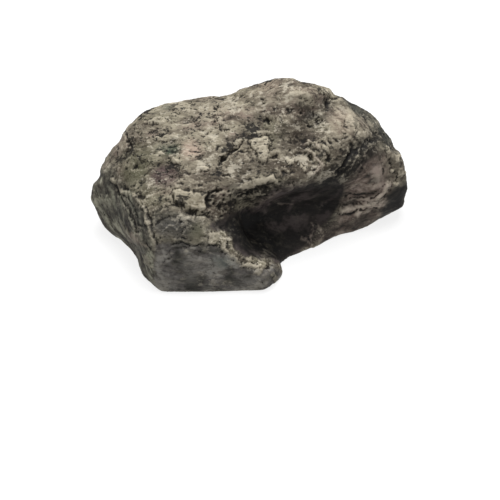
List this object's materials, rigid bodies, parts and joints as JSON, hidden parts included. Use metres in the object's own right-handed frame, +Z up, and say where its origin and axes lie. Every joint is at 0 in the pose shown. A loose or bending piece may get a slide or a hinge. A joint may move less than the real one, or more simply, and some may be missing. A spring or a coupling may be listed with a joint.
{
  "type": "hide a key rock",
  "caption": "Hollow cast garden stone with a rugged painted surface, an overhanging ledge over a dark cave, and a sliding door under its flat base that closes a key compartment.",
  "frame": {"origin": "on the ground, under the middle of the stone's overall box", "axes": "+X along the stone towards the end where the door slides out, -Y towards the front with the ledge and the cave, +Z up"},
  "size_m": [0.083, 0.057, 0.045],
  "materials": {
    "painted_resin": "cast polyresin, dark wash with dry-brushed grey and tan highlights",
    "tub_plastic": "moulded ABS, fine matte texture",
    "door_plastic": "moulded ABS, fine matte texture"
  },
  "bodies": {
    "stone": {"rock_body": "painted_resin", "key_tub": "tub_plastic", "track_frame": "tub_plastic"},
    "door": {"slide_door": "door_plastic"}
  },
  "joints": [
    {"name": "door_slide", "type": "slide", "parent": "stone", "child": "door", "axis": [1, 0, 0], "range_m": [0, 0.056]}
  ]
}
